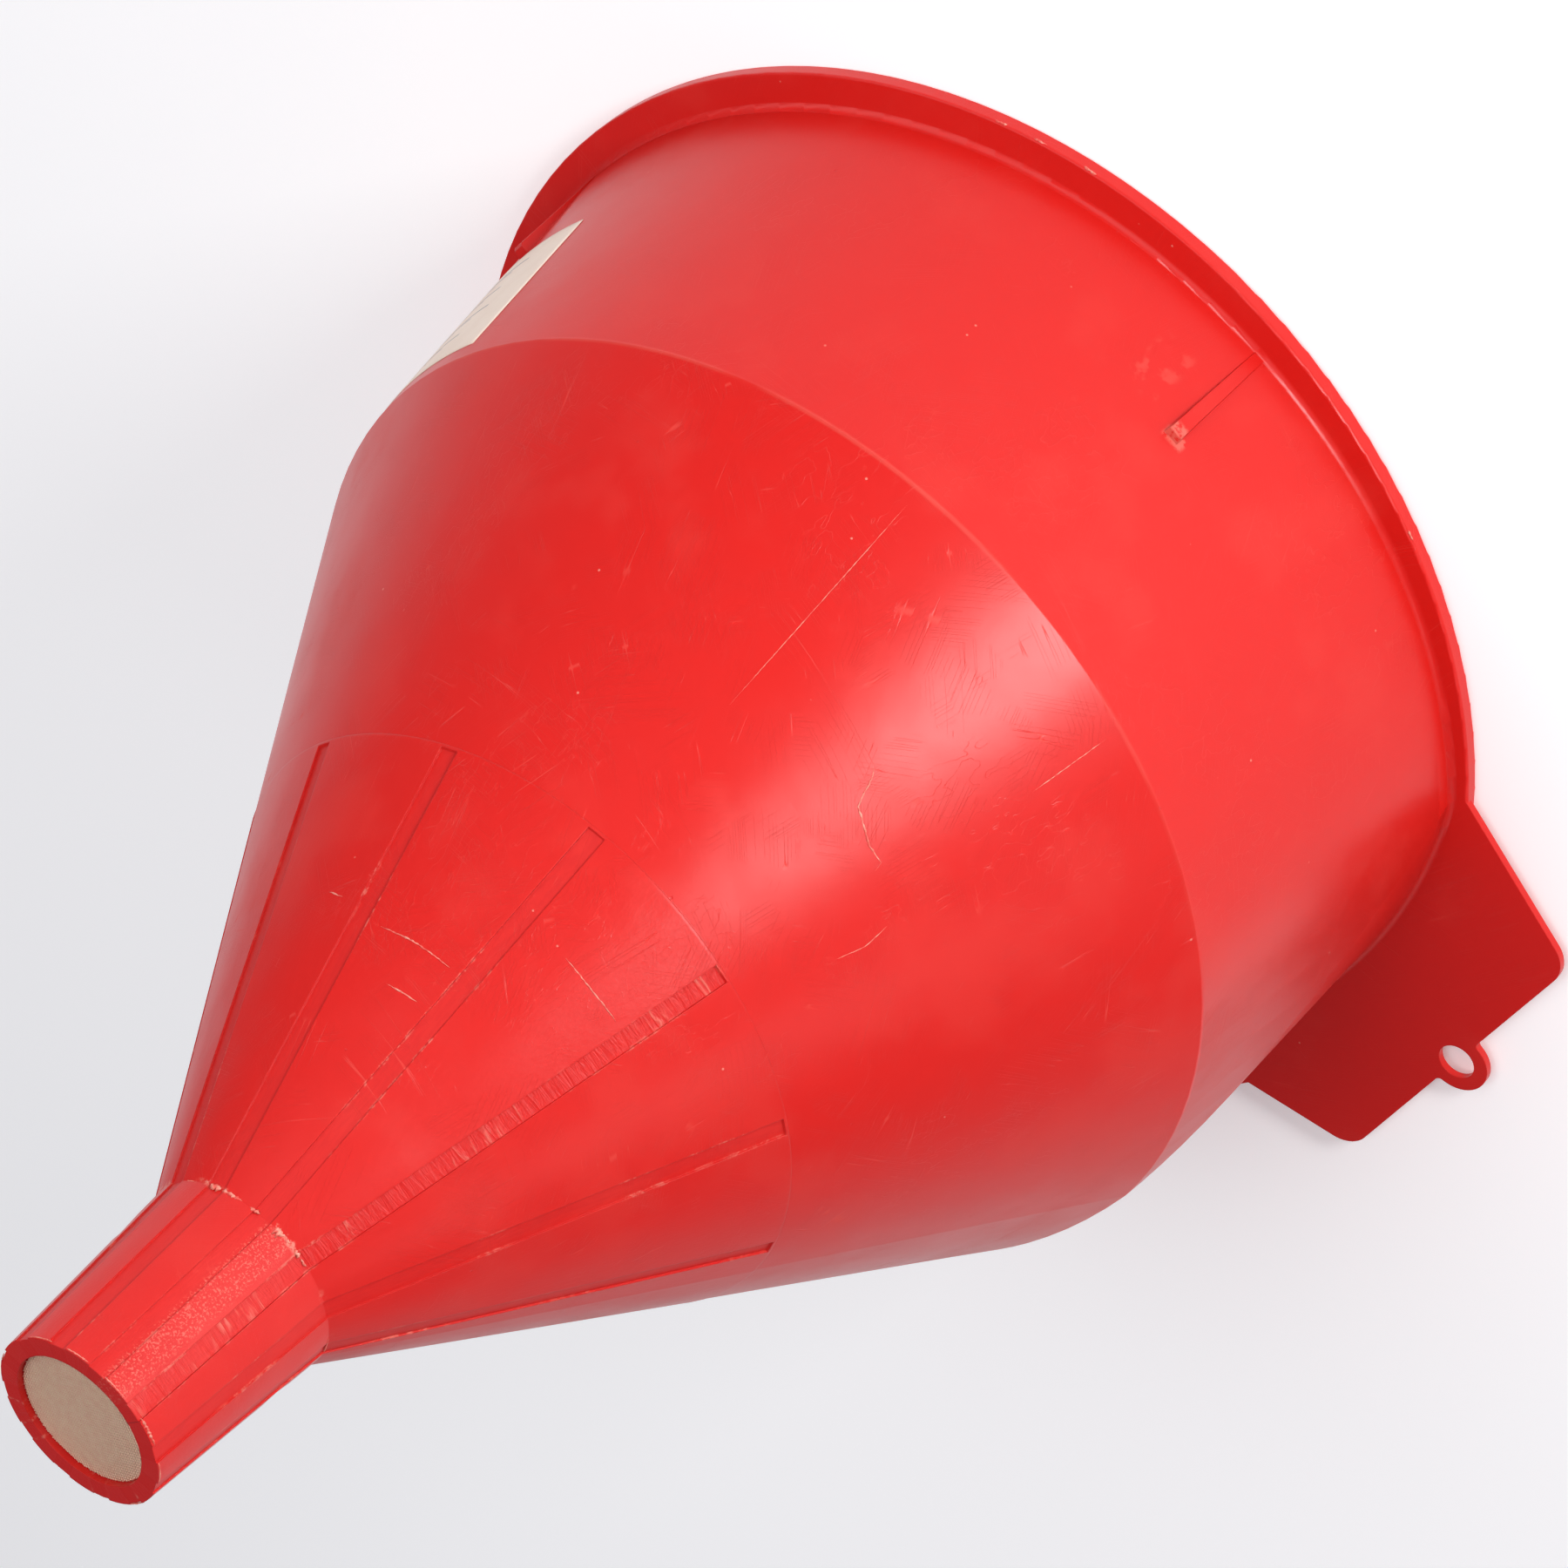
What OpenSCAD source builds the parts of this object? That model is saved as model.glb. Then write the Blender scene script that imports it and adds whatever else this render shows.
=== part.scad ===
// Large fuel funnel with a straight-walled bowl, a grooved cone and spout, a hanging tab on the
// rim, a woven strainer disc in the spout end and a paper label on the bowl.
// It stands mouth down: the origin is the centre of the mouth in the plane of the rim, +Z runs up
// the axis to the spout tip, and +X points to the hanging tab.

/* [Rim] */
// outer radius of the rim flange
rim_r = 120.6; // [120.2:0.2:126]
// position of the flange's centre along X: the flange is narrower towards the tab
rim_x = -2.4; // [-2.4:0.1:0]
// position of the flange's centre along Y: the flange is wider towards +Y
rim_y = 2.9; // [0:0.1:2.9]
// thickness of the flange
flange_t = 3.4; // [2.8:0.1:4]
// rounding of the flange's outer edges
rim_edge_r = 0.5; // [0.3:0.1:0.8]
// fillet between the flange and the bowl wall
root_r = 1.5; // [1:0.5:3.5]

/* [Bowl] */
// outer radius of the bowl wall, taken down to the rim plane
wall_r = 117.2; // [115.5:0.1:117.5]
// outer radius at the shoulder
shoulder_r = 105.4; // [103:0.1:107]
// height of the shoulder
shoulder_z = 76.7; // [74:0.1:82]
// thickness of the bowl and cone walls
wall_t = 2.2; // [1.8:0.1:3]
// direction of the middle of the flattened side
flat_turn = -21; // [-30:1:0]
// radius of curvature of the flattened side
flat_r = 140; // [135:1:150]
// distance from the axis to the flattened side, in the rim plane
flat_x = 104.2; // [104:0.1:108]
// how far the flattened side leans in over the height of the bowl wall
flat_lean = 0.6; // [0.3:0.1:0.8]
// fillet between the flange and the flattened side
flat_root_r = 1.2; // [0.8:0.1:3]

/* [Cone and spout] */
// outer radius of the ring where the cone's grooves begin
panel_r = 64; // [50:0.5:80]
// how far the grooved panels stand proud of the plain cone
panel_step = 0.2; // [0.1:0.05:0.4]
// outer radius where the cone meets the spout
neck_r = 20.3; // [19.8:0.1:22]
// height where the cone meets the spout
neck_z = 227.7; // [218:0.1:237]
// outer radius of the spout tip
tip_r = 17.8; // [17.4:0.1:18.6]
// overall height of the funnel
tip_z = 269.7; // [264:0.1:277]
// inner radius where the cone's hollow meets the spout passage
throat_r = 16.2; // [15:0.1:16.8]
// radius of the straight part of the spout passage
bore_r = 13.4; // [12.8:0.1:13.5]
// length of the straight part of the spout passage
bore_l = 14; // [8:0.5:20]
// number of grooves around the cone and spout
groove_n = 12; // [8:1:16]
// direction of the first groove
groove_turn = 9; // [0:0.5:22]
// width of a groove
groove_w = 3.7; // [2.5:0.1:4.5]
// depth of a groove
groove_d = 0.35; // [0.3:0.05:0.7]

/* [Strainer] */
// radius of the strainer disc and of its seat
disc_r = 14; // [13.7:0.1:14.4]
// thickness of the strainer disc
disc_t = 0.4; // [0.3:0.05:0.6]
// depth of the disc's outer face inside the tip
disc_depth = 1.2; // [0.8:0.1:2]

/* [Hanging tab] */
// thickness of the tab
tab_t = 1.6; // [1.4:0.1:2.4]
// distance from the axis to the outer edge of the tab
tab_x = 135.5; // [134.5:0.5:145]
// sideways position of the tab's centre line
tab_y = 13.4; // [0:0.1:15]
// half width of the tab along its outer edge
tab_half_w = 42; // [35:0.5:44]
// angle by which each side of the tab spreads towards the rim
tab_spread = 20; // [15:1:24]
// rounding of the tab's outer corners
tab_corner_r = 7; // [4:0.5:9]
// radius of the ear around the hanging hole
ear_r = 7; // [6.5:0.1:9]
// radius of the hanging hole
hole_r = 4; // [3:0.1:4.2]
// small fillets where the ear meets the tab's edge
ear_fillet = 1.2; // [0.8:0.1:2]

/* [Nesting ribs] */
// number of nesting ribs on the bowl wall
rib_n = 3; // [2:1:3]
// direction of the first rib
rib_first = 84.5; // [80:0.5:90]
// angle from one rib to the next
rib_pitch = 85; // [80:1:90]
// height of the ribs' upper ends
rib_top_z = 31.2; // [26:0.1:32]
// how far a rib stands out at its upper end
rib_out = 2.4; // [1.5:0.1:3]
// width of a rib where it meets the wall
rib_w = 3.4; // [2.5:0.1:4]
// width of a rib along its crest
rib_crest_w = 1.8; // [1.2:0.1:2.4]

/* [Label] */
// height of the label's lower edge above the rim plane
label_z0 = 32.2; // [32.2:0.1:38]
// height of the label's upper edge
label_z1 = 72.2; // [62:0.1:73]
// half the angle the label takes up around the bowl
label_half_a = 22; // [12:1:28]
// direction of the label's middle
label_turn = 180; // [176:1:190]
// thickness of the label
label_t = 0.15; // [0.1:0.05:0.3]

/* [Hidden] */
$fn = 96;
// overrun of a cutting shape past the face it opens
over = 1;
// how far a fillet bites into the wall it meets
bite = 0.02;
// how far above the edge of the raised panels the grooves begin
groove_gap = 0.5;
// slope of the bowl wall: radius lost for each unit of height
wall_k = (wall_r - shoulder_r) / shoulder_z;
// slope of the cone
cone_k = (shoulder_r - neck_r) / (neck_z - shoulder_z);
// slope of the flattened side
flat_k = flat_lean / shoulder_z;
// wall thickness of the cone measured straight out from the axis
cone_t = wall_t * sqrt(1 + cone_k * cone_k);
// height of the ring where the grooves begin
panel_z = shoulder_z + (shoulder_r - panel_r) / cone_k;
// height where the hollow cone meets the spout passage
throat_z = shoulder_z + (shoulder_r - cone_t - throat_r) / cone_k;
// height of the seat that the strainer disc rests on
seat_z = tip_z - disc_depth - disc_t;
// centre of curvature of the flattened side
flat_cx = flat_x - flat_r;

// outer radius of the plain bowl wall at height z
function wall_at(z) = wall_r - wall_k * z;

// centre of a fillet of radius f on the flange top and a wall of radius r0 and slope k, set a
// hair into the wall so that the two surfaces cross cleanly
function root_c(r0, k, f) = [r0 - k * (flange_t + f) + f * sqrt(1 + k * k) - bite,
                             flange_t + f];

// half section of the fillet of radius f at the foot of a wall of radius r0 and slope k
module root_section(r0, k, f) {
    c = root_c(r0, k, f);
    lean = sqrt(1 + k * k);
    difference() {
        polygon([[r0 - k * flange_t - over, flange_t],
                 [c[0], flange_t],
                 c,
                 [c[0] - f / lean, c[1] - f * k / lean],
                 [c[0] - f / lean - over, c[1] - f * k / lean]]);
        translate(c)
            circle(r = f);
    }
}

// solid of revolution that gives the flattened side, drawn in by the amount inset
module flat_side(inset) {
    r0 = flat_r - inset;
    rotate([0, 0, flat_turn])
        translate([flat_cx, 0, 0]) {
            translate([0, 0, -over])
                cylinder(r1 = r0 + flat_k * over,
                         r2 = r0 - flat_k * (tip_z + over),
                         h = tip_z + 2 * over);
            if (inset == 0)
                rotate_extrude()
                    root_section(r0, flat_k, flat_root_r);
        }
}

// bowl wall, cone and spout as one solid, before hollowing, kept within the flange's edge
module outer_form() {
    intersection() {
        translate([rim_x, rim_y, 0])
            cylinder(r = rim_r - rim_edge_r, h = tip_z);
        rotate_extrude() {
            polygon([[0, 0],
                     [wall_r, 0],
                     [shoulder_r, shoulder_z],
                     [panel_r, panel_z],
                     [panel_r + panel_step, panel_z],
                     [neck_r, neck_z],
                     [tip_r, tip_z],
                     [0, tip_z]]);
            root_section(wall_r, wall_k, root_r);
        }
        flat_side(0);
    }
}

// hollow of the bowl, cone and spout, open at the mouth
module hollow() {
    intersection() {
        rotate_extrude()
            polygon([[0, -over],
                     [wall_r - wall_t + wall_k * over, -over],
                     [shoulder_r - cone_t, shoulder_z],
                     [throat_r, throat_z],
                     [bore_r, seat_z - bore_l],
                     [bore_r, seat_z + over],
                     [0, seat_z + over]]);
        flat_side(wall_t);
    }
    translate([0, 0, seat_z])
        cylinder(r = disc_r, h = tip_z - seat_z + over);
}

// flange: a flat ring with rounded outer edges, set a little off the axis
module flange() {
    translate([rim_x, rim_y, 0])
        rotate_extrude() {
            square([rim_r - rim_edge_r, flange_t]);
            translate([0, rim_edge_r])
                square([rim_r, flange_t - 2 * rim_edge_r]);
            for (z = [rim_edge_r, flange_t - rim_edge_r])
                translate([rim_r - rim_edge_r, z])
                    circle(r = rim_edge_r);
        }
}

// outline of the tab: a plate that spreads towards the rim, with two rounded outer corners
module tab_outline() {
    back_x = flat_x - tab_half_w / 2;
    back_w = tab_half_w + (tab_x - back_x) * tan(tab_spread);
    turn = 90 - tab_spread;
    reach = tab_corner_r * tan(turn / 2);
    corner_y = tab_half_w - tab_corner_r * (1 / cos(tab_spread) - tan(tab_spread));
    polygon([[back_x, -back_w],
             [tab_x - reach * sin(turn), -tab_half_w - reach * cos(turn)],
             [tab_x - tab_corner_r, -corner_y],
             [tab_x, -corner_y],
             [tab_x, corner_y],
             [tab_x - tab_corner_r, corner_y],
             [tab_x - reach * sin(turn), tab_half_w + reach * cos(turn)],
             [back_x, back_w]]);
    for (side = [-1, 1])
        translate([tab_x - tab_corner_r, side * corner_y])
            circle(r = tab_corner_r);
}

// outline of the ear, with a small fillet on each side of it
module ear_outline() {
    side_y = sqrt(pow(ear_r + ear_fillet, 2) - pow(ear_fillet, 2));
    circle(r = ear_r);
    for (side = [-1, 1])
        difference() {
            polygon([[-over, side * (ear_r - over)],
                     [-over, side * side_y],
                     [0, side * side_y],
                     [ear_fillet, side * side_y],
                     [ear_fillet * ear_r / (ear_r + ear_fillet),
                      side * side_y * ear_r / (ear_r + ear_fillet)]]);
            translate([ear_fillet, side * side_y])
                circle(r = ear_fillet);
        }
}

// hanging tab with its ear and hole, flush with the top of the flange
module tab() {
    translate([0, tab_y, flange_t - tab_t])
        linear_extrude(tab_t)
            difference() {
                union() {
                    tab_outline();
                    translate([tab_x, 0])
                        ear_outline();
                }
                translate([tab_x, 0])
                    circle(r = hole_r);
            }
}

// one nesting rib: a wedge with sloping flanks that grows taller away from the rim
module rib() {
    sink = wall_t / 2;
    ease = rib_crest_w / 3;
    slack = over / 4;
    intersection() {
        rotate([90, 0, 0])
            linear_extrude(rib_w + over, center = true)
                polygon([[wall_at(flange_t) - sink, flange_t - bite],
                         [wall_at(flange_t) + bite, flange_t - bite],
                         [wall_at(rib_top_z) + rib_out, rib_top_z - ease],
                         [wall_at(rib_top_z) + rib_out - ease, rib_top_z],
                         [wall_at(rib_top_z) - sink, rib_top_z]]);
        linear_extrude(rib_top_z + over)
            polygon([[wall_at(rib_top_z) - sink - over, -rib_w / 2 - slack],
                     [wall_at(flange_t) + rib_out, -rib_crest_w / 2],
                     [wall_at(flange_t) + rib_out, rib_crest_w / 2],
                     [wall_at(rib_top_z) - sink - over, rib_w / 2 + slack]]);
    }
}

// all the grooves of the cone and spout, as one cutting shape
module grooves() {
    intersection() {
        for (i = [0 : groove_n - 1])
            rotate([0, 0, groove_turn + i * 360 / groove_n])
                translate([0, -groove_w / 2, panel_z + groove_gap])
                    cube([panel_r + over, groove_w, tip_z - panel_z + over]);
        rotate_extrude()
            polygon([[panel_r - groove_d, panel_z - over],
                     [panel_r + 2 * over, panel_z - over],
                     [panel_r + 2 * over, panel_z],
                     [neck_r + over, neck_z],
                     [tip_r + over, tip_z + over],
                     [tip_r - groove_d, tip_z + over],
                     [tip_r - groove_d, tip_z],
                     [neck_r - groove_d, neck_z],
                     [panel_r - groove_d, panel_z]]);
    }
}

// the funnel: one moulding with its flange, tab, ribs, cone, grooves and spout
module funnel_body() {
    color([0.85, 0.17, 0.15])
        difference() {
            union() {
                outer_form();
                flange();
                tab();
                for (i = [0 : rib_n - 1])
                    rotate([0, 0, rib_first + i * rib_pitch])
                        rib();
            }
            hollow();
            grooves();
        }
}

// the strainer: a round of woven wire cloth, drawn as a plain disc
module strainer_disc() {
    color([0.72, 0.62, 0.5])
        translate([0, 0, seat_z])
            cylinder(r = disc_r, h = disc_t);
}

// the label: a thin skin on the outside of the bowl wall
module bowl_label() {
    color([0.9, 0.84, 0.76])
        rotate([0, 0, label_turn - label_half_a])
            rotate_extrude(angle = 2 * label_half_a)
                polygon([[wall_at(label_z0), label_z0],
                         [wall_at(label_z0) + label_t, label_z0],
                         [wall_at(label_z1) + label_t, label_z1],
                         [wall_at(label_z1), label_z1]]);
}

funnel_body();
strainer_disc();
bowl_label();
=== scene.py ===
"""Looks of the red plastic fuel funnel: worn moulded polyethylene, a woven brass strainer,
a paper label, flash left at the mould's edges, and a plain studio round it.

Everything is in metres in the CAD frame: mouth down on z = 0, spout up along +Z, and
azimuths in degrees from +X, which points at the hanging tab. Noise over object coordinates
has its scale in features per metre."""

import math
import random
from collections import namedtuple

import bmesh
import bpy
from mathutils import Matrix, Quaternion, Vector, noise


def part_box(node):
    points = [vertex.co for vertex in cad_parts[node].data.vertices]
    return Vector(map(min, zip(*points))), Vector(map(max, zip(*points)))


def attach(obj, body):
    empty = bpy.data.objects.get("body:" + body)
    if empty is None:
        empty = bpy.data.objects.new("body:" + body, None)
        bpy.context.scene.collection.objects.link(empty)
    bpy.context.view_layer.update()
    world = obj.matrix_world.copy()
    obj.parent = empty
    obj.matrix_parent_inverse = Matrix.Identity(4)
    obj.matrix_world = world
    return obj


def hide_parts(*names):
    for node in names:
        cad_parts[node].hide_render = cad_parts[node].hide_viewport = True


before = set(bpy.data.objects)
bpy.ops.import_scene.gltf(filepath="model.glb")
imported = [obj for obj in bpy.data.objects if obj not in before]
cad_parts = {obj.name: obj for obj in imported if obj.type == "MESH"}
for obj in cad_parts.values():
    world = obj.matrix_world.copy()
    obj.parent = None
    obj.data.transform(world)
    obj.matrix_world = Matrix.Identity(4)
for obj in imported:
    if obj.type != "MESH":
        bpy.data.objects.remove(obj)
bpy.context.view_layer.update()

# ---------------------------------------------------------------- sizes taken from the frame
MM = 0.001
TIP_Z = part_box("funnel_body")[1].z
DISC_LOW, DISC_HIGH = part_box("strainer_disc")
DISC_R = DISC_HIGH.x

# ---------------------------------------------------------------- outline, as in the CAD source
WALL_FOOT_R = 117.2 * MM
SHOULDER_R = 105.4 * MM
SHOULDER_Z = 76.7 * MM
NECK_R = 20.3 * MM
NECK_Z = 227.7 * MM
TIP_R = 17.8 * MM
# the cone's raised panels start at this height, and run out at the neck
STEP_Z = 150.2 * MM
PANEL_STEP = 0.2 * MM
# grooves: degrees from one to the next, the azimuth of one, and half their width
GROOVE_STEP = 30
GROOVE_TURN = 9
GROOVE_HALF = 1.85 * MM
# the flange is a circle set off the axis
FLANGE_Z = 3.4 * MM
RIM_R = 120.6 * MM
RIM_CENTRE = Vector((-2.4, 2.9, 0)) * MM
# the bowl's flattened side: an arc that faces FLAT_TURN and spans FLAT_HALF either way
FLAT_R = 140 * MM
FLAT_X = 104.2 * MM
FLAT_LEAN = 0.6 * MM
FLAT_TURN = -21
FLAT_HALF = 57
# the label, from the rim's side to the shoulder's
LABEL_RIM_Z = 32.2 * MM
LABEL_SHOULDER_Z = 72.2 * MM
LABEL_TURN = 180
LABEL_HALF = 22


def polar(azimuth, radius, z):
    """The point at an azimuth in degrees, a distance from the axis and a height."""
    a = math.radians(azimuth)
    return Vector((radius * math.cos(a), radius * math.sin(a), z))


def wall_r(z):
    """Outer radius of the bowl's wall at height z."""
    return WALL_FOOT_R + (SHOULDER_R - WALL_FOOT_R) * z / SHOULDER_Z


def cone_r(z):
    """Outer radius of the cone at height z, with its raised panels."""
    plain = SHOULDER_R + (NECK_R - SHOULDER_R) * (z - SHOULDER_Z) / (NECK_Z - SHOULDER_Z)
    return plain + (PANEL_STEP * (NECK_Z - z) / (NECK_Z - STEP_Z) if z > STEP_Z else 0.0)


def spout_r(azimuth, z):
    """Outer radius of the spout at height z, the same at every azimuth."""
    return NECK_R + (TIP_R - NECK_R) * (z - NECK_Z) / (TIP_Z - NECK_Z)


def rim_r(azimuth, z):
    """Distance from the axis to the flange's edge at an azimuth, the same at every height."""
    across = polar(azimuth, 1.0, 0.0).dot(RIM_CENTRE)
    return across + math.sqrt(across**2 + RIM_R**2 - RIM_CENTRE.length_squared)


# ---------------------------------------------------------------- node materials
Place = namedtuple("Place", "point x y z turn radius")


class Graph:
    """A node material written as arithmetic on sockets."""

    def __init__(self, name):
        self.material = bpy.data.materials.new(name)
        self.material.use_nodes = True
        self.tree = self.material.node_tree
        self.tree.nodes.clear()
        self.out = self.tree.nodes.new("ShaderNodeOutputMaterial")

    def node(self, kind, **settings):
        n = self.tree.nodes.new("ShaderNode" + kind)
        for key, value in settings.items():
            setattr(n, key, value)
        return n

    def feed(self, socket, value):
        """Links a socket to a socket, or sets it to a constant."""
        if isinstance(value, bpy.types.NodeSocket):
            self.tree.links.new(value, socket)
        else:
            socket.default_value = value

    def math(self, operation, a, b=0.0):
        n = self.node("Math", operation=operation)
        self.feed(n.inputs[0], a)
        self.feed(n.inputs[1], b)
        return n.outputs[0]

    def add(self, a, b):
        return self.math("ADD", a, b)

    def sub(self, a, b):
        return self.math("SUBTRACT", a, b)

    def div(self, a, b):
        return self.math("DIVIDE", a, b)

    def absolute(self, a):
        """The value without its sign."""
        return self.math("ABSOLUTE", a)

    def mul(self, a, *others):
        for b in others:
            a = self.math("MULTIPLY", a, b)
        return a

    def most(self, a, *others):
        for b in others:
            a = self.math("MAXIMUM", a, b)
        return a

    def total(self, *terms):
        """The sum of each field times its weight."""
        value = self.mul(*terms[0])
        for field, weight in terms[1:]:
            value = self.add(value, self.mul(field, weight))
        return value

    def vector(self, x, y, z):
        n = self.node("CombineXYZ")
        for socket, value in zip(n.inputs, (x, y, z)):
            self.feed(socket, value)
        return n.outputs[0]

    def point(self):
        """The shaded point in the object's coordinates."""
        return self.node("TexCoord").outputs["Object"]

    def place(self):
        """The shaded point, its x, y and z, its azimuth in degrees and its distance from Z."""
        point = self.point()
        n = self.node("SeparateXYZ")
        self.feed(n.inputs[0], point)
        x, y, z = n.outputs
        turn = self.mul(self.math("ARCTAN2", y, x), 180 / math.pi)
        radius = self.math("SQRT", self.add(self.mul(x, x), self.mul(y, y)))
        return Place(point, x, y, z, turn, radius)

    def turned(self, point, rotation, scale=(1, 1, 1)):
        """Coordinates turned by Euler degrees and then scaled, to stretch a pattern."""
        turn = self.node("Mapping", vector_type="POINT")
        self.feed(turn.inputs["Vector"], point)
        turn.inputs["Rotation"].default_value = [math.radians(a) for a in rotation]
        stretch = self.node("Mapping", vector_type="POINT")
        self.feed(stretch.inputs["Vector"], turn.outputs[0])
        stretch.inputs["Scale"].default_value = scale
        return stretch.outputs[0]

    def noise(self, point, scale, detail=2.0, roughness=0.5, distortion=0.0):
        n = self.node("TexNoise")
        self.feed(n.inputs["Vector"], point)
        self.feed(n.inputs["Scale"], scale)
        self.feed(n.inputs["Detail"], detail)
        self.feed(n.inputs["Roughness"], roughness)
        self.feed(n.inputs["Distortion"], distortion)
        return n.outputs[0]

    def cells(self, point, scale):
        """Distance to the nearest scattered point, and that point's own random number."""
        n = self.node("TexVoronoi")
        self.feed(n.inputs["Vector"], point)
        self.feed(n.inputs["Scale"], scale)
        s = self.node("SeparateXYZ")
        self.feed(s.inputs[0], n.outputs["Color"])
        return n.outputs["Distance"], s.outputs[0]

    def fade(self, value, start, end):
        """0 at start and 1 at end, smooth between and level beyond; start may be above end."""
        n = self.node("MapRange", interpolation_type="SMOOTHSTEP")
        rising = end > start
        for key, v in (
            ("Value", value),
            ("From Min", min(start, end)),
            ("From Max", max(start, end)),
            ("To Min", 0.0 if rising else 1.0),
            ("To Max", 1.0 if rising else 0.0),
        ):
            self.feed(n.inputs[key], v)
        return n.outputs[0]

    def band(self, value, low, high, soft):
        """1 between low and high, fading to 0 over soft outside them."""
        return self.mul(
            self.fade(value, low - soft, low),
            self.fade(value, high + soft, high),
        )

    def hairlines(self, field, width):
        """Thin lines along the middle contour of a noise field."""
        return self.fade(self.absolute(self.sub(field, 0.5)), width, 0.0)

    def blend(self, factor, a, b):
        """Colour a where factor is 0 and b where it is 1."""
        n = self.node("Mix", data_type="RGBA")
        colours = [s for s in n.inputs if s.type == "RGBA"]
        self.feed(n.inputs["Factor"], factor)
        self.feed(colours[0], a)
        self.feed(colours[1], b)
        return [s for s in n.outputs if s.type == "RGBA"][0]

    def layers(self, colour, *coats):
        """A colour with coats laid over it in turn, each a factor and a colour."""
        for factor, coat in coats:
            colour = self.blend(factor, colour, coat)
        return colour

    def dot(self, a, b):
        n = self.node("VectorMath", operation="DOT_PRODUCT")
        self.feed(n.inputs[0], a)
        self.feed(n.inputs[1], b)
        return n.outputs["Value"]

    def unit(self, way):
        n = self.node("VectorMath", operation="NORMALIZE")
        self.feed(n.inputs[0], way)
        return n.outputs[0]

    def mix_way(self, factor, a, b):
        """Direction a where factor is 0 and b where it is 1."""
        n = self.node("Mix", data_type="VECTOR")
        ways = [s for s in n.inputs if s.type == "VECTOR"]
        self.feed([s for s in n.inputs if s.type == "VALUE"][0], factor)
        self.feed(ways[-2], a)
        self.feed(ways[-1], b)
        return self.unit([s for s in n.outputs if s.type == "VECTOR"][0])

    def bump(self, height, normal=None):
        """The surface normal given by a height in metres."""
        n = self.node("Bump")
        n.inputs["Strength"].default_value = 1.0
        n.inputs["Distance"].default_value = 1.0
        self.feed(n.inputs["Height"], height)
        if normal is not None:
            self.feed(n.inputs["Normal"], normal)
        return n.outputs[0]

    def principled(self, colour, roughness, normal=None, **constants):
        """Finishes the material with a Principled shader and returns it."""
        n = self.node("BsdfPrincipled")
        self.feed(n.inputs["Base Color"], colour)
        self.feed(n.inputs["Roughness"], roughness)
        if normal is not None:
            self.feed(n.inputs["Normal"], normal)
        for key, value in constants.items():
            n.inputs[key.replace("_", " ")].default_value = value
        self.feed(self.out.inputs["Surface"], n.outputs[0])
        return self.material


# ---------------------------------------------------------------- red plastic
RED = (0.64, 0.012, 0.008, 1)
RED_DEEP = (0.54, 0.006, 0.006, 1)
RED_PALE = (0.74, 0.070, 0.050, 1)
# pale whitened plastic, also the colour of the painted highlights
WHITENED_AND_HIGHLIGHT = (0.82, 0.30, 0.22, 1)
PLASTIC_IOR = 1.50

EDGE_SOFT = 0.3 * MM
# the groove at this azimuth has a torn floor
ROUGH_GROOVE = 69
# rubbed places, and the spout's band of painted glints: ranges of azimuth, and of height in mm
GLINT_TURNS = (80, 94)
RIB_END_TURNS = (83.2, 85.2)
RIB_END_HEIGHTS = (29.6, 31.4)
SMUDGE_TURNS = (88.5, 91.5)
SMUDGE_HEIGHTS = (17, 27)
# scratches: their slant on the unrolled surface in degrees, their scale along and across
# themselves, and a seed that places them
SCRATCHES = (
    (12, 14, 900, 0.0),
    (-38, 18, 1100, 3.1),
    (64, 12, 1000, 7.7),
    (-75, 10, 1200, 11.3),
    (35, 22, 1300, 17.9),
)
HAIRLINE = 0.006


def grooves(g, at, on_panels):
    """The floors of the grooves, their edges, and the floor of the rough one."""
    steps = g.div(g.sub(at.turn, GROOVE_TURN - 360), GROOVE_STEP)
    off_groove = g.absolute(g.sub(steps, g.math("ROUND", steps)))
    to_groove = g.mul(off_groove, math.radians(GROOVE_STEP), at.radius)
    floors = g.mul(
        on_panels,
        g.fade(to_groove, GROOVE_HALF + 0.1 * MM, GROOVE_HALF - 0.1 * MM),
    )
    edges = g.mul(
        on_panels,
        g.band(to_groove, GROOVE_HALF - 0.15 * MM, GROOVE_HALF + 0.1 * MM, 0.3 * MM),
    )
    rough = g.mul(floors, g.band(at.turn, ROUGH_GROOVE - 10, ROUGH_GROOVE + 10, 1.0))
    return floors, edges, rough


def scratched(g, at, on_cone):
    """Fine scratches in patches, on the surface unrolled with its seam on the -Y side."""
    unrolled = g.vector(
        g.mul(g.math("ARCTAN2", g.mul(at.x, -1.0), at.y), at.radius), at.z, 0.0
    )
    scratches = 0.0
    for slant, along, across, seed in SCRATCHES:
        strip = g.turned(unrolled, (0, 0, slant), (along, across, 1))
        lines = g.hairlines(g.noise(strip, 1.0, 0.0, 0.4), HAIRLINE)
        spot = g.turned(at.point, (seed, 2 * seed, 5 * seed))
        patches = g.fade(g.noise(spot, 60.0 + seed), 0.56, 0.64)
        scratches = g.most(g.mul(lines, patches), scratches)
    return g.mul(scratches, g.add(0.4, g.mul(on_cone, 0.6)))


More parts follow.
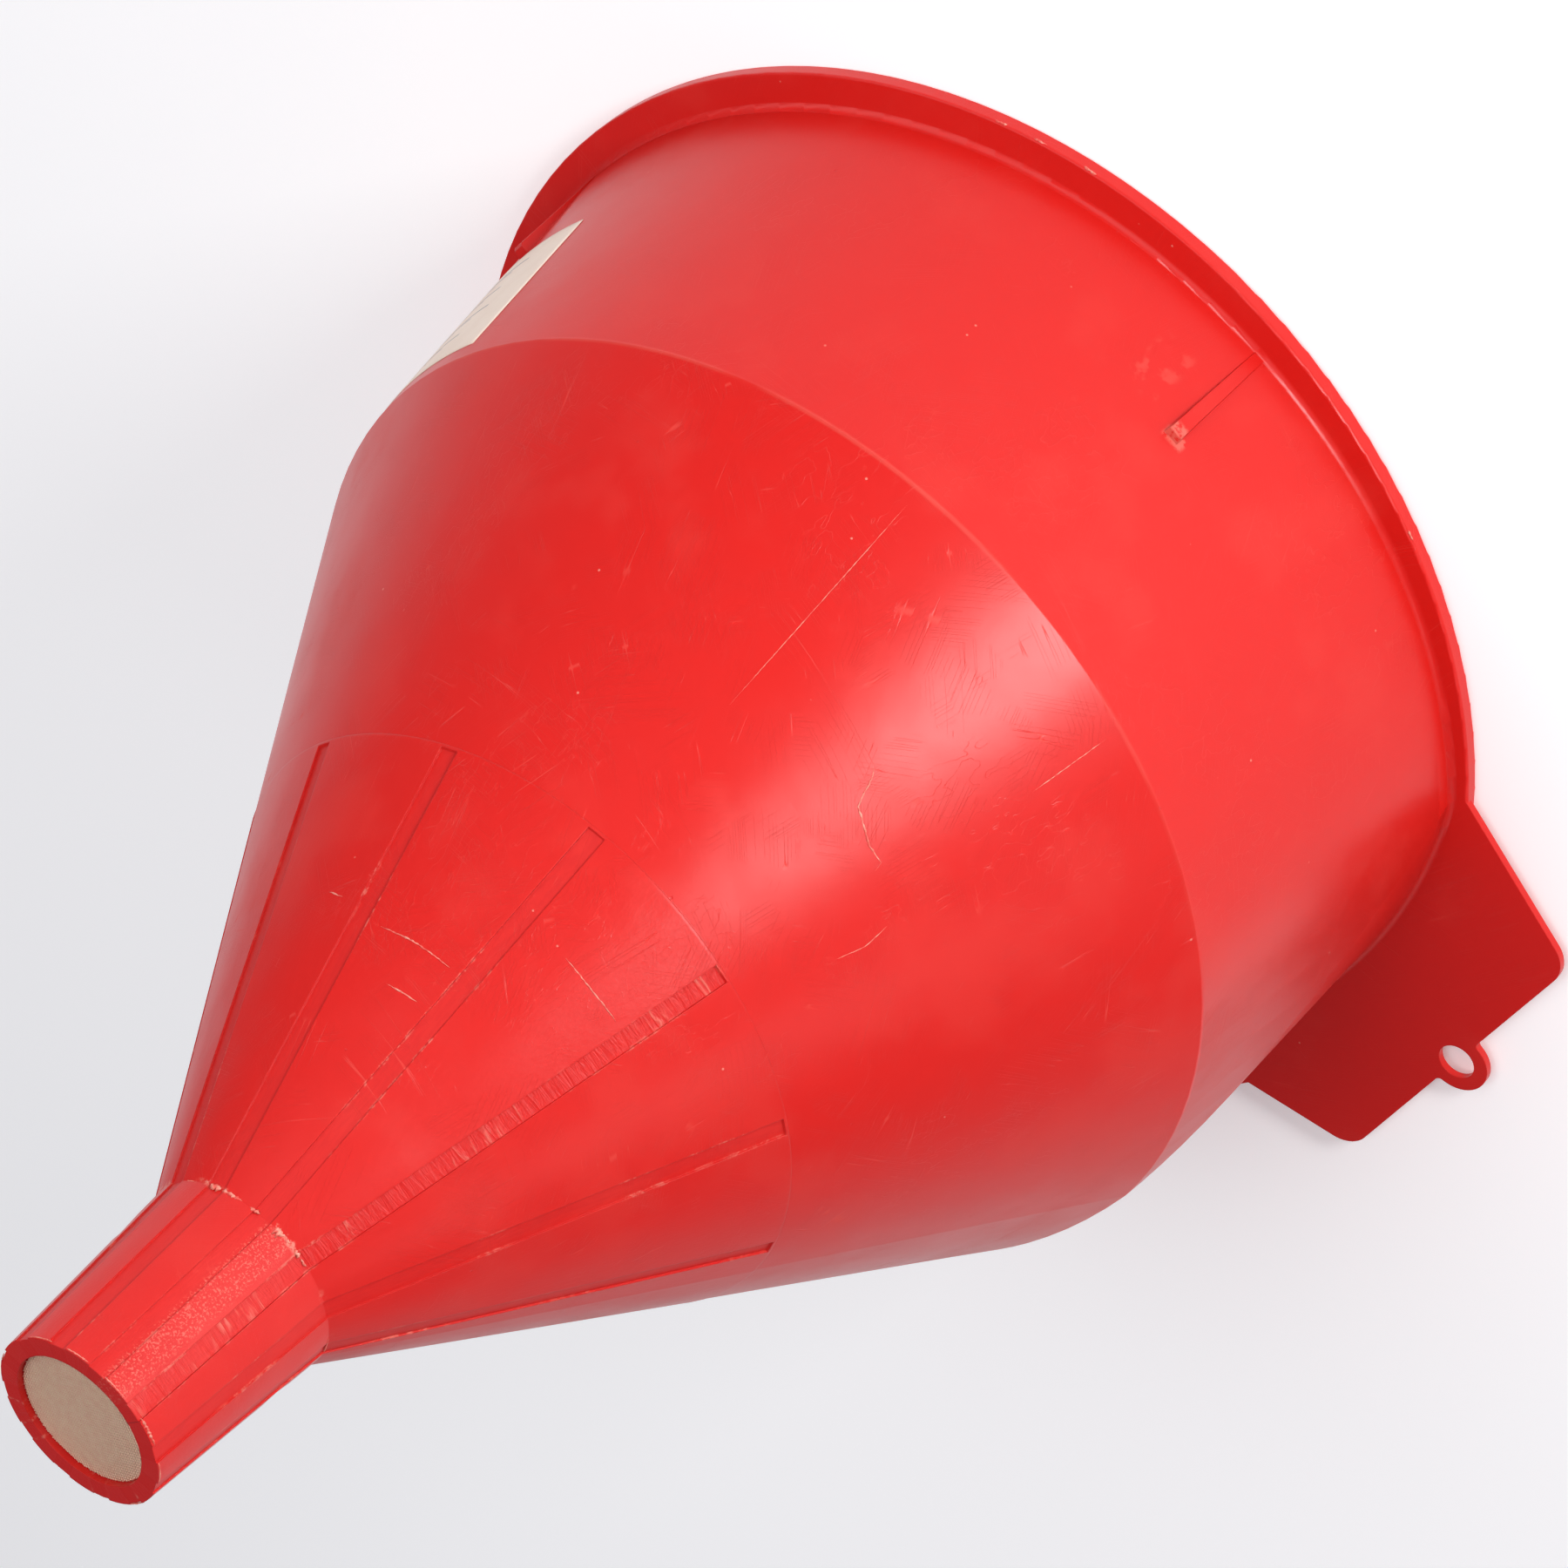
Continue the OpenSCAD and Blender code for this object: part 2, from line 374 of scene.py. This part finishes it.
def whitening_and_painted_highlights(g, at, on_spout, groove_floors, groove_edges, torn, clouds, ragged):
    """How white the plastic is painted: whitened on worn groove edges, at the neck and where it is
    torn, plus painted highlights as pale groove edges, glints on the spout and a line along the
    shoulder.
    """
    # groove edges: pale lines, partly wear and partly a painted highlight where the edges catch
    # the light
    edge_patches = g.fade(g.noise(at.point, 60.0, 3.0), 0.52, 0.66)
    edge_wear_and_highlight = g.mul(groove_edges, edge_patches, g.fade(ragged, 0.46, 0.62))
    neck_rub = g.mul(
        g.band(at.z, NECK_Z - 0.3 * MM, NECK_Z + 0.2 * MM, 0.7 * MM),
        g.sub(1.0, g.mul(groove_floors, 0.6)),
        g.fade(ragged, 0.46, 0.60),
        g.fade(g.noise(at.point, 110.0), 0.52, 0.64),
    )
    # painted highlight: fine pale glints in the band of the spout where the key light reflects
    glints = g.mul(
        on_spout,
        g.band(at.turn, *GLINT_TURNS, 4.0),
        g.fade(g.noise(at.point, 2300.0, 2.0, 0.6), 0.52, 0.64),
    )
    low, high = RIB_END_HEIGHTS
    rib_end = g.mul(
        g.band(at.turn, *RIB_END_TURNS, 0.5),
        g.band(at.z, low * MM, high * MM, 1 * MM),
        g.fade(ragged, 0.38, 0.5),
    )
    low, high = SMUDGE_HEIGHTS
    smudge = g.mul(
        g.band(at.turn, *SMUDGE_TURNS, 1.0),
        g.band(at.z, low * MM, high * MM, 3 * MM),
        g.fade(g.noise(at.point, 300.0, 3.0), 0.50, 0.62),
    )
    # painted highlight: a pale broken line along the shoulder's edge
    painted_shoulder_highlight = g.mul(
        g.band(at.z, SHOULDER_Z - 0.1 * MM, SHOULDER_Z + 0.2 * MM, 0.5 * MM),
        g.fade(clouds, 0.45, 0.65),
    )
    strongest = g.most(
        g.mul(edge_wear_and_highlight, 0.40),
        g.mul(neck_rub, 0.8),
        g.mul(glints, 0.30),
        g.mul(rib_end, 0.35),
        g.mul(smudge, 0.10),
        g.mul(painted_shoulder_highlight, 0.12),
        g.mul(torn, 0.35),
    )
    return g.math("MINIMUM", strongest, 1.0)


def smooth_normal(g, at):
    """The normal with softened edges, and with no crease where the bowl's flattened side
    runs into its round wall."""
    soft = g.node("Bevel", samples=4)
    soft.inputs["Radius"].default_value = EDGE_SOFT
    from_middle = g.absolute(g.sub(at.turn, FLAT_TURN))
    wall_lean = (WALL_FOOT_R - SHOULDER_R) / SHOULDER_Z
    flat_lean = FLAT_LEAN / SHOULDER_Z
    round_way = g.unit(g.vector(at.x, at.y, g.mul(at.radius, wall_lean)))
    facing_out = g.dot(g.node("NewGeometry").outputs["Normal"], round_way)
    near_flat = g.mul(
        g.band(at.z, FLANGE_Z + 4 * MM, SHOULDER_Z - 1 * MM, 1 * MM),
        g.fade(from_middle, FLAT_HALF + 14, FLAT_HALF + 12),
        g.fade(facing_out, 0.0, 0.1),
    )
    centre = polar(FLAT_TURN, FLAT_X - FLAT_R, 0)
    flat_way = g.unit(
        g.vector(g.sub(at.x, centre.x), g.sub(at.y, centre.y), FLAT_R * flat_lean)
    )
    flatness = g.fade(from_middle, FLAT_HALF + 10, FLAT_HALF - 10)
    eased = g.mix_way(flatness, round_way, flat_way)
    return g.mix_way(near_flat, soft.outputs[0], eased)


def red_plastic():
    """Polyethylene as moulded: a soft sheen, grain, drag marks, scuffs, whitened edges, and
    painted highlights on the groove edges, the spout and the shoulder.
    """
    g = Graph("red_polyethylene")
    at = g.place()

    # where things are
    on_spout = g.fade(at.z, NECK_Z - 0.2 * MM, NECK_Z + 0.2 * MM)
    on_cone = g.mul(g.fade(at.z, SHOULDER_Z, SHOULDER_Z + 1 * MM), g.sub(1.0, on_spout))
    on_panels = g.fade(at.z, STEP_Z, STEP_Z + 0.5 * MM)
    groove_floors, groove_edges, rough_groove = grooves(g, at, on_panels)

    # drag marks run along the cone's sides, from coordinates that wind round the axis
    sides = g.vector(g.div(at.x, at.radius), g.div(at.y, at.radius), g.mul(at.z, 6.0))
    drag = g.noise(sides, 60.0, 4.0, 0.6)
    fine_drag = g.noise(sides, 190.0)
    drag_lines = g.mul(
        g.hairlines(g.noise(sides, 26.0), HAIRLINE),
        g.fade(g.noise(at.point, 30.0), 0.52, 0.62),
    )

    # wear in patches, scratches, raised specks and pits
    clouds = g.noise(at.point, 16.0, 4.0, 0.6)
    patches = g.fade(g.noise(at.point, 38.0, 3.0, 0.55), 0.50, 0.66)
    scratches = scratched(g, at, on_cone)
    dot, dot_share = g.cells(at.point, 140.0)
    specks = g.mul(g.fade(dot, 0.045, 0.02), g.fade(dot_share, 0.62, 0.66))
    pits = g.mul(g.fade(dot, 0.05, 0.02), g.fade(dot_share, 0.10, 0.06))

    # the moulded surface, from long waves to grain
    waves = g.noise(at.point, 45.0)
    orange_peel = g.noise(at.point, 420.0)
    ragged = g.noise(at.point, 700.0, 4.0, 0.7)
    grain = g.noise(at.point, 2600.0, 2.0, 0.6)

    # short tears across the rough groove
    across = g.vector(g.mul(at.turn, at.radius, 2.0), g.mul(at.z, 900.0), 0.0)
    chatter = g.noise(across, 1.0, 3.0, 0.6, 0.8)
    tear_patches = g.fade(g.noise(at.point, 90.0, 3.0), 0.50, 0.60)
    torn = g.mul(rough_groove, g.fade(chatter, 0.50, 0.66), tear_patches)

    whitened_and_highlights = whitening_and_painted_highlights(
        g, at, on_spout, groove_floors, groove_edges, torn, clouds, ragged
    )
    colour = g.layers(
        RED,
        (g.mul(clouds, 0.35), RED_DEEP),
        (g.mul(patches, 0.10), RED_PALE),
        (g.mul(groove_floors, g.fade(drag, 0.40, 0.62), 0.35), RED_DEEP),
        (g.mul(g.most(scratches, g.mul(drag_lines, 0.5)), 0.40), RED_PALE),
        (g.mul(specks, 0.6), WHITENED_AND_HIGHLIGHT),
        (g.mul(pits, 0.5), RED_DEEP),
        # whitening, with painted highlights mixed in
        (whitened_and_highlights, WHITENED_AND_HIGHLIGHT),
    )
    roughness = g.add(0.33, g.mul(g.sub(clouds, 0.5), 0.18))
    roughness = g.add(roughness, g.mul(patches, 0.05))
    roughness = g.add(roughness, g.mul(g.most(scratches, whitened_and_highlights, groove_floors), 0.12))
    height = g.total(
        (orange_peel, 0.006 * MM),
        (waves, 0.20 * MM),
        (grain, g.add(0.004 * MM, g.mul(on_spout, 0.030 * MM))),
        (drag, g.add(0.004 * MM, g.mul(on_panels, 0.020 * MM))),
        (fine_drag, g.mul(on_panels, 0.014 * MM)),
        (chatter, g.mul(rough_groove, 0.30 * MM)),
        (scratches, -0.030 * MM),
        (drag_lines, 0.020 * MM),
        (specks, 0.05 * MM),
        (pits, -0.06 * MM),
        (g.mul(whitened_and_highlights, ragged), 0.10 * MM),
    )
    return g.principled(
        colour,
        roughness,
        g.bump(height, smooth_normal(g, at)),
        IOR=PLASTIC_IOR,
        Specular_IOR_Level=0.32,
        Subsurface_Weight=0.08,
        Subsurface_Radius=(0.004, 0.0008, 0.0006),
        Subsurface_Scale=1.0,
    )


def whitened_plastic():
    """Thin torn plastic, stretched until it whitens."""
    g = Graph("whitened_polyethylene")
    mottle = g.noise(g.point(), 900.0, 3.0, 0.6)
    return g.principled(
        g.blend(g.fade(mottle, 0.35, 0.65), RED_PALE, WHITENED_AND_HIGHLIGHT),
        0.42,
        g.bump(g.mul(mottle, 0.08 * MM)),
        IOR=PLASTIC_IOR,
        Subsurface_Weight=0.1,
        Subsurface_Scale=0.002,
    )


# ---------------------------------------------------------------- brass, paper and floor
BRASS = (0.96, 0.72, 0.54, 1)
BRASS_DULL = (0.93, 0.65, 0.48, 1)
PAPER = (0.92, 0.77, 0.65, 1)
PAPER_AGED = (0.86, 0.68, 0.56, 1)
PAPER_FIBRE = (0.66, 0.50, 0.40, 1)
INK = (0.25, 0.22, 0.24, 1)
FLOOR_PALE = (0.96, 0.96, 0.96, 1)
FLOOR_SHADE = (0.94, 0.94, 0.94, 1)
FLOOR_GLOW = (1.0, 1.0, 1.0, 1)

# ruled lines on the label, in mm: the height at which each group starts, then how far apart,
# wide and long they are, and how much shorter each is than the one before it
LINE_GROUPS = (38, 46, 54, 62)
LINES_IN_GROUP = 3
LINE_PITCH = 1.5
LINE_WIDTH = 0.45
LINE_REACH = 30
LINE_SHORTER = 5
ODD_GROUP_SHORTER = 3


def brass_wire():
    """Drawn brass wire, a little dulled by fuel."""
    g = Graph("brass_wire")
    point = g.point()
    tarnish = g.noise(point, 700.0)
    fine = g.noise(point, 5000.0)
    return g.principled(
        g.blend(g.fade(tarnish, 0.35, 0.7), BRASS, BRASS_DULL),
        g.add(0.26, g.mul(tarnish, 0.08)),
        g.bump(g.mul(fine, 0.004 * MM)),
        Metallic=1.0,
    )


def ruled_lines(g, at):
    """Plain lines round the label; each is shorter than the one before it in its group."""
    from_side = g.absolute(at.y)
    lines = 0.0
    for group, start in enumerate(LINE_GROUPS):
        for line in range(LINES_IN_GROUP):
            level = (start + LINE_PITCH * line) * MM
            shorter = LINE_SHORTER * line + ODD_GROUP_SHORTER * (group % 2)
            reach = (LINE_REACH - shorter) * MM
            stroke = g.mul(
                g.band(at.z, level, level + LINE_WIDTH * MM, 0.15 * MM),
                g.fade(from_side, reach, reach - 1 * MM),
            )
            lines = g.most(stroke, lines)
    return lines


def label_paper():
    """Cream paper with faint plain ruled lines where the print would be."""
    g = Graph("label_paper")
    at = g.place()
    fibres = g.noise(g.turned(at.point, (0, 0, 20), (300, 300, 900)), 1.0, 4.0, 0.65)
    age = g.noise(at.point, 45.0, 3.0, 0.6)
    colour = g.layers(
        PAPER,
        (g.fade(age, 0.3, 0.7), PAPER_AGED),
        (g.mul(fibres, 0.12), PAPER_FIBRE),
        (g.mul(ruled_lines(g, at), 0.85), INK),
    )
    roughness = g.add(0.48, g.mul(fibres, 0.2))
    return g.principled(colour, roughness, g.bump(g.mul(fibres, 0.02 * MM)), IOR=1.45)


def studio_floor():
    """A plain pale floor, barely mottled."""
    g = Graph("studio_floor")
    colour = g.blend(g.noise(g.point(), 3.0), FLOOR_PALE, FLOOR_SHADE)
    return g.principled(colour, 0.9, Emission_Color=FLOOR_GLOW, Emission_Strength=0.22)


# ---------------------------------------------------------------- meshes
def add_mesh(name, bm, material):
    """A shown piece of the object, made from a bmesh, riding on the funnel."""
    bmesh.ops.recalc_face_normals(bm, faces=bm.faces)
    mesh = bpy.data.meshes.new(name)
    bm.to_mesh(mesh)
    bm.free()
    mesh.materials.append(material)
    mesh.shade_smooth()
    piece = bpy.data.objects.new(name, mesh)
    bpy.context.scene.collection.objects.link(piece)
    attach(piece, "root")
    return piece


def grid_faces(bm, rows, closed=False):
    """Faces between rows of vertices; each row is a closed ring if asked."""
    count = len(rows[0])
    for a, b in zip(rows, rows[1:]):
        for j in range(count if closed else count - 1):
            k = (j + 1) % count
            bm.faces.new((a[j], b[j], b[k], a[k]))


def tube(bm, rings):
    """A closed solid through rings of vertices."""
    grid_faces(bm, rings, closed=True)
    bm.faces.new(rings[0])
    bm.faces.new(list(reversed(rings[-1])))


# ---------------------------------------------------------------- strainer
WIRE_PITCH = 0.4375 * MM
WIRE_R = 0.095 * MM
WIRE_SIDES = 6
FEWEST_WIRE_STEPS = 2
CLOTH_TURN = 4


def wire(bm, number, across, turn):
    """One wire of the cloth, waving over and under those it crosses. Its number counts from
    the middle, and across says which of the two directions it runs in."""
    aside = number * WIRE_PITCH
    reach = math.sqrt(max(0.0, DISC_R**2 - aside**2))
    steps = int(reach / (WIRE_PITCH / 2))
    if steps < FEWEST_WIRE_STEPS:
        return
    level = (DISC_LOW.z + DISC_HIGH.z) / 2
    rings = []
    for k in range(-steps, steps + 1):
        run = k * WIRE_PITCH / 2
        rise = WIRE_R * math.cos(math.pi * (k / 2 + number + (1 if across else 0)))
        ring = []
        for s in range(WIRE_SIDES):
            a = 2 * math.pi * s / WIRE_SIDES
            side = aside + WIRE_R * math.cos(a)
            up = level + rise + WIRE_R * math.sin(a)
            place = Vector((side, run, up)) if across else Vector((run, side, up))
            ring.append(bm.verts.new(turn @ place))
        rings.append(ring)
    tube(bm, rings)


def woven_cloth():
    """Plain-weave wire cloth: each wire goes over one and under the next, both ways."""
    bm = bmesh.new()
    count = int(DISC_R / WIRE_PITCH)
    turn = Quaternion((0, 0, 1), math.radians(CLOTH_TURN))
    for across in (False, True):
        for number in range(-count, count + 1):
            wire(bm, number, across, turn)
    piece = add_mesh("strainer_cloth", bm, brass_wire())
    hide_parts("strainer_disc")


# ---------------------------------------------------------------- label
LABEL_COLUMNS = 72
LABEL_ROWS = 24
LABEL_LIFT = 0.15 * MM
LABEL_EDGE_DROP = 0.03 * MM
LABEL_SINK = 0.02 * MM
RIPPLE_HEIGHT = 0.035 * MM
RIPPLE_SCALE = 90


def paper_label():
    """The label as a thin closed sheet that follows the wall, with slightly soft edges."""
    bm = bmesh.new()
    front, back = [], []
    for j in range(LABEL_ROWS + 1):
        v = j / LABEL_ROWS
        z = LABEL_RIM_Z + (LABEL_SHOULDER_Z - LABEL_RIM_Z) * v
        front_row, back_row = [], []
        for i in range(LABEL_COLUMNS + 1):
            u = i / LABEL_COLUMNS
            turn = LABEL_TURN - LABEL_HALF + 2 * LABEL_HALF * u
            ripple = noise.noise(polar(turn, wall_r(z), z) * RIPPLE_SCALE) * RIPPLE_HEIGHT
            inside = min(u, 1 - u, v, 1 - v) > 0
            lift = LABEL_LIFT + (ripple if inside else -LABEL_EDGE_DROP)
            front_row.append(bm.verts.new(polar(turn, wall_r(z) + lift, z)))
            back_row.append(bm.verts.new(polar(turn, wall_r(z) - LABEL_SINK, z)))
        front.append(front_row)
        back.append(back_row)
    grid_faces(bm, front)
    grid_faces(bm, back)
    for end in (0, -1):
        grid_faces(bm, [front[end], back[end]])
    for side in (0, -1):
        grid_faces(bm, [[row[side] for row in front], [row[side] for row in back]])
    piece = add_mesh("bowl_label_paper", bm, label_paper())
    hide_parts("bowl_label")


# ---------------------------------------------------------------- flash, burrs and scrapes
BURR_ROOT = 0.15 * MM
BURR_STEPS_PER_DEGREE = 1.6
BURR_STEPS_LEAST = 6
SCRAPE_ROOT = 0.08 * MM
SCRAPE_STEP = 0.5 * MM
FLASH_SEED = 7
SCRAPE_SEED = 11
BURR_SEED = 5

# ridges of torn plastic: from and to which azimuth, how tall along Z and how far they
# stand out, in mm
NECK_FLASH = (
    (150, 144, 0.5, 0.15),
    (133, 126, 2.2, 0.45),
    (125, 112, 1.2, 0.32),
    (107, 101, 1.2, 0.28),
    (91, 84, 2.6, 0.55),
    (84, 80, 1.4, 0.35),
    (77, 72, 1.6, 0.50),
    (71, 66, 0.6, 0.25),
    (20, 6, 0.5, 0.15),
    (-20, -40, 0.6, 0.2),
    (-80, -110, 0.6, 0.2),
    (-140, -160, 0.5, 0.2),
)
TIP_FLASH = (
    (151, 133, 0.4, 0.2),
    (122, 106, 0.45, 0.2),
    (94, 78, 0.4, 0.18),
    (64, 45, 0.8, 0.4),
    (33, 16, 0.5, 0.22),
    (-10, -36, 0.35, 0.18),
    (-48, -70, 0.35, 0.15),
    (-80, -100, 0.3, 0.12),
    (-115, -130, 0.4, 0.18),
    (-150, -172, 0.35, 0.15),
)
RIM_BURRS = (
    (106, 107.4, 0.7, 0.22),
    (111.2, 112.6, 0.7, 0.22),
    (115.4, 116.6, 0.7, 0.22),
    (63, 64, 0.7, 0.22),
)
RIM_BURR_DROP = 0.45 * MM
# scrapes on the cone: points of azimuth and height in mm, then width and lift in mm
SCRAPES = (
    (
        ((79.8, 111.9), (78.4, 113.5), (76.6, 118.3), (71.8, 120.4), (69.1, 120.3), (68.6, 121.8)),
        0.45,
        0.07,
    ),
    (((123, 180.9), (115, 180.6), (104, 180.8)), 0.40, 0.06),
    (((140, 178.0), (136, 178.4)), 0.40, 0.05),
    (((114, 188.3), (105, 188.0)), 0.35, 0.05),
    (((88, 168.0), (80, 168.3), (73, 168.2)), 0.35, 0.05),
    (((66.4, 79.5), (66.0, 94.0)), 0.25, 0.04),
    (((97.2, 80.0), (97.0, 122.0)), 0.22, 0.035),
    (((61.5, 124.5), (60.6, 129.0), (61.2, 134.0)), 0.30, 0.05),
)
# corners of a scrape's cross-section: share of its width to one side, and raised or sunk
SCRAPE_CORNERS = ((-0.5, False), (-0.2, True), (0.2, True), (0.5, False))


def burr(bm, start, end, radius_at, z, tall, out, rng):
    """A ragged closed ridge of torn plastic round the axis between two azimuths."""
    steps = max(BURR_STEPS_LEAST, int(abs(end - start) * BURR_STEPS_PER_DEGREE))
    rings = []
    for k in range(steps + 1):
        share = k / steps
        turn = start + (end - start) * share
        taper = min(1.0, 6 * share, 6 * (1 - share)) + 0.02
        size = taper * (0.35 + 0.65 * rng.random())
        half = 0.5 * tall * size
        reach = out * size
        middle = z + (rng.random() - 0.5) * 0.25 * tall
        r = radius_at(turn, z)
        corners = (
            (r - BURR_ROOT, middle - half),
            (r + reach, middle - 0.2 * half),
            (r + 0.8 * reach, middle + 0.3 * half),
            (r - BURR_ROOT, middle + half),
        )
        rings.append([bm.verts.new(polar(turn, *corner)) for corner in corners])
    tube(bm, rings)


def filled_path(path):
    """Points of azimuth and height along a path on the cone, SCRAPE_STEP or so apart."""
    points = []
    for (turn_a, z_a), (turn_b, z_b) in zip(path, path[1:]):
        run = math.hypot(math.radians(turn_b - turn_a) * cone_r(z_a), z_b - z_a)
        steps = max(2, int(run / SCRAPE_STEP))
        for k in range(steps):
            share = k / steps
            points.append((turn_a + (turn_b - turn_a) * share, z_a + (z_b - z_a) * share))
    points.append(path[-1])
    return points


def scrape(bm, path, width, lift, rng):
    """A thin raised line of scraped-up plastic along a path on the cone."""
    points = filled_path(path)
    last = len(points) - 1
    rings = []
    for k, (turn, z) in enumerate(points):
        before, after = points[max(k - 1, 0)], points[min(k + 1, last)]
        r = cone_r(z)
        along = Vector((math.radians(after[0] - before[0]) * r, after[1] - before[1]))
        along.normalize()
        share = k / last
        taper = min(1.0, 5 * share, 5 * (1 - share)) + 0.05
        size = taper * (0.4 + 0.6 * rng.random())
        slip = (rng.random() - 0.5) * 0.3 * width
        ring = []
        for side, is_raised in SCRAPE_CORNERS:
            off = side * width * size + slip
            z_at = z + off * along.x
            turn_at = turn - math.degrees(off * along.y / r)
            rise = lift * size if is_raised else -SCRAPE_ROOT
            ring.append(bm.verts.new(polar(turn_at, cone_r(z_at) + rise, z_at)))
        rings.append(ring)
    tube(bm, rings)


def mould_flash(material):
    """Flash and torn edges where the panels meet the neck and the tip."""
    rng = random.Random(FLASH_SEED)
    neck = bmesh.new()
    for start, end, tall, out in NECK_FLASH:
        burr(neck, start, end, spout_r, NECK_Z, tall * MM, out * MM, rng)
    add_mesh("neck_flash", neck, material)
    tip = bmesh.new()
    for start, end, tall, out in TIP_FLASH:
        half = tall * MM * 0.5
        burr(tip, start, end, spout_r, TIP_Z - 1.35 * half, tall * MM, out * MM, rng)
    add_mesh("tip_flash", tip, material)


def cone_scrapes(material):
    """The larger scrapes on the cone, as raised lines."""
    rng = random.Random(SCRAPE_SEED)
    bm = bmesh.new()
    for path, width, lift in SCRAPES:
        scrape(bm, [(turn, z * MM) for turn, z in path], width * MM, lift * MM, rng)
    add_mesh("cone_scrapes", bm, material)


def rim_burrs(material):
    """Small burrs on the flange's upper edge."""
    rng = random.Random(BURR_SEED)
    bm = bmesh.new()
    for start, end, tall, out in RIM_BURRS:
        burr(bm, start, end, rim_r, FLANGE_Z - RIM_BURR_DROP, tall * MM, out * MM, rng)
    add_mesh("rim_burrs", bm, material)


# ---------------------------------------------------------------- studio
CAMERA_PLACE = (0.0560, 0.7260, 0.6349)
CAMERA_TURN = (0.83627, -0.39359, 0.19100, 0.33054)
CAMERA_LENS = 107.5
CAMERA_SENSOR = 36.0
CAMERA_CLIP = (0.01, 50)
FLOOR_HALF = 4
FLOOR_GAP = 0.05 * MM
SURROUND_COLOUR = (0.94, 0.95, 1.12, 1)
SURROUND_STRENGTH = 0.17
LIGHT_AIM = Vector((0, 0, 0.12))
# softboxes: name, azimuth and elevation, distance, width, height and watts
LIGHTS = (
    ("key", 72, 10, 0.90, 0.28, 0.16, 5.4),
    ("fill", 142, 57, 2.0, 2.6, 2.2, 31),
    ("kicker", 27, 18, 1.35, 0.35, 0.30, 1.0),
    ("side", -40, 18, 2.0, 1.6, 1.2, 3),
)


def add_camera():
    """A camera at the photograph's place and angle."""
    scene = bpy.context.scene
    data = bpy.data.cameras.new("camera")
    data.lens = CAMERA_LENS
    data.sensor_width = CAMERA_SENSOR
    data.clip_start, data.clip_end = CAMERA_CLIP
    camera = bpy.data.objects.new("camera", data)
    camera.location = CAMERA_PLACE
    camera.rotation_mode = "QUATERNION"
    camera.rotation_quaternion = CAMERA_TURN
    scene.collection.objects.link(camera)
    scene.camera = camera


def add_floor():
    """A pale floor just clear of the rim, so that their faces don't share a plane."""
    bm = bmesh.new()
    bmesh.ops.create_grid(bm, x_segments=2, y_segments=2, size=FLOOR_HALF)
    mesh = bpy.data.meshes.new("floor")
    bm.to_mesh(mesh)
    bm.free()
    mesh.materials.append(studio_floor())
    floor = bpy.data.objects.new("floor", mesh)
    floor.location.z = -FLOOR_GAP
    bpy.context.scene.collection.objects.link(floor)


def add_surround():
    """A dim, slightly cool surround."""
    world = bpy.data.worlds.new("surround")
    world.use_nodes = True
    back = world.node_tree.nodes["Background"]
    back.inputs["Color"].default_value = SURROUND_COLOUR
    back.inputs["Strength"].default_value = SURROUND_STRENGTH
    bpy.context.scene.world = world


def softbox(name, azimuth, elevation, distance, width, height, power):
    """A rectangular area light facing the funnel."""
    light = bpy.data.lights.new(name, "AREA")
    light.shape = "RECTANGLE"
    light.size, light.size_y = width, height
    light.energy = power
    lamp = bpy.data.objects.new(name, light)
    e = math.radians(elevation)
    offset = polar(azimuth, distance * math.cos(e), distance * math.sin(e))
    lamp.location = LIGHT_AIM + offset
    lamp.rotation_mode = "QUATERNION"
    lamp.rotation_quaternion = (LIGHT_AIM - lamp.location).to_track_quat("-Z", "Y")
    bpy.context.scene.collection.objects.link(lamp)


def studio():
    """Camera, pale floor, surround and soft lights."""
    add_camera()
    add_floor()
    add_surround()
    for light in LIGHTS:
        softbox(*light)
    bpy.context.scene.view_settings.view_transform = "Standard"


# ---------------------------------------------------------------- build
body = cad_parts["funnel_body"]
body.data.materials.clear()
body.data.materials.append(red_plastic())
woven_cloth()
paper_label()
torn_plastic = whitened_plastic()
mould_flash(torn_plastic)
cone_scrapes(torn_plastic)
rim_burrs(torn_plastic)
studio()
